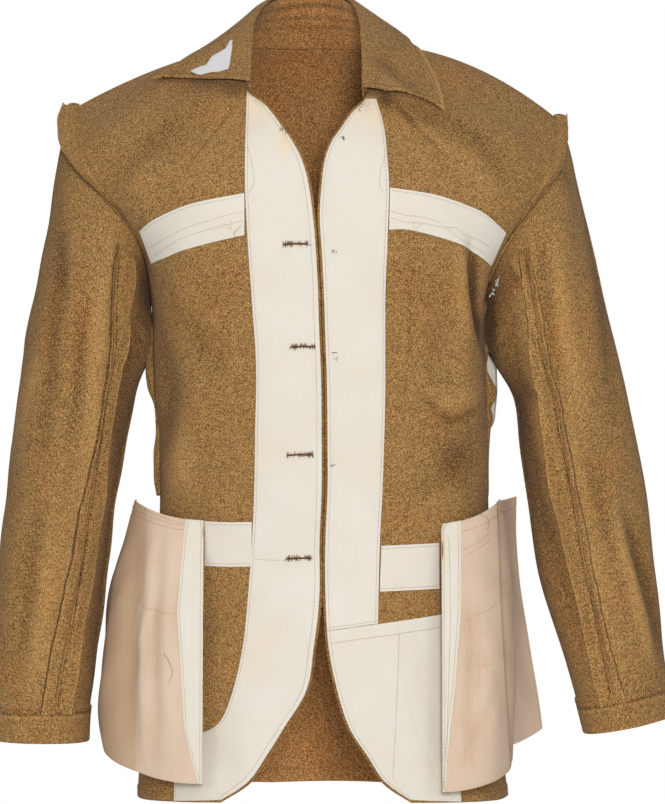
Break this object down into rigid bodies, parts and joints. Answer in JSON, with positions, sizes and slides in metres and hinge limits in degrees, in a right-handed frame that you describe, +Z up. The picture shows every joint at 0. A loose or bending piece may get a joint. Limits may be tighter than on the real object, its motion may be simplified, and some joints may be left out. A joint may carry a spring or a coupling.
{
  "type": "inside-out military tunic",
  "caption": "Wool serge service tunic turned inside out and filled out as worn, hollow, with cream cotton facings, stays and loose skirt pocket bags outside.",
  "frame": {"origin": "between the shoulders, level with the middle of the shoulder seams, where the wearer holds the tunic up", "axes": "+Z up along the wearer, -Y to the front, +X to the viewer's right"},
  "size_m": [0.6506, 0.2467, 0.7716],
  "materials": {
    "wool": "matt napped serge",
    "cotton": "matt plain-woven cotton",
    "bag_cotton": "matt cotton drill, a little darker",
    "label": "matt white tape"
  },
  "bodies": {
    "root": {"back": "wool", "front_l": "wool", "front_r": "wool", "sleeve_top_l": "wool", "sleeve_top_r": "wool", "sleeve_under_l": "wool", "sleeve_under_r": "wool", "sleeve_seam_l": "wool", "sleeve_seam_r": "wool", "armhole_edge_l": "wool", "armhole_edge_r": "wool", "side_edge_l": "wool", "side_edge_r": "wool", "collar_stand": "wool", "collar_fall": "wool", "facing_l": "cotton", "facing_r": "cotton", "breast_stay_l": "cotton", "breast_stay_r": "cotton", "waist_stay_l": "cotton", "waist_stay_r": "cotton", "skirt_pocket_r": "cotton", "underarm_piece_l": "cotton", "underarm_piece_r": "cotton", "pocket_strip_l": "cotton", "pocket_strip_r": "cotton", "pocket_bag_l": "bag_cotton", "pocket_bag_r": "bag_cotton", "pocket_side_r": "bag_cotton", "collar_label": "label"}
  },
  "joints": []
}
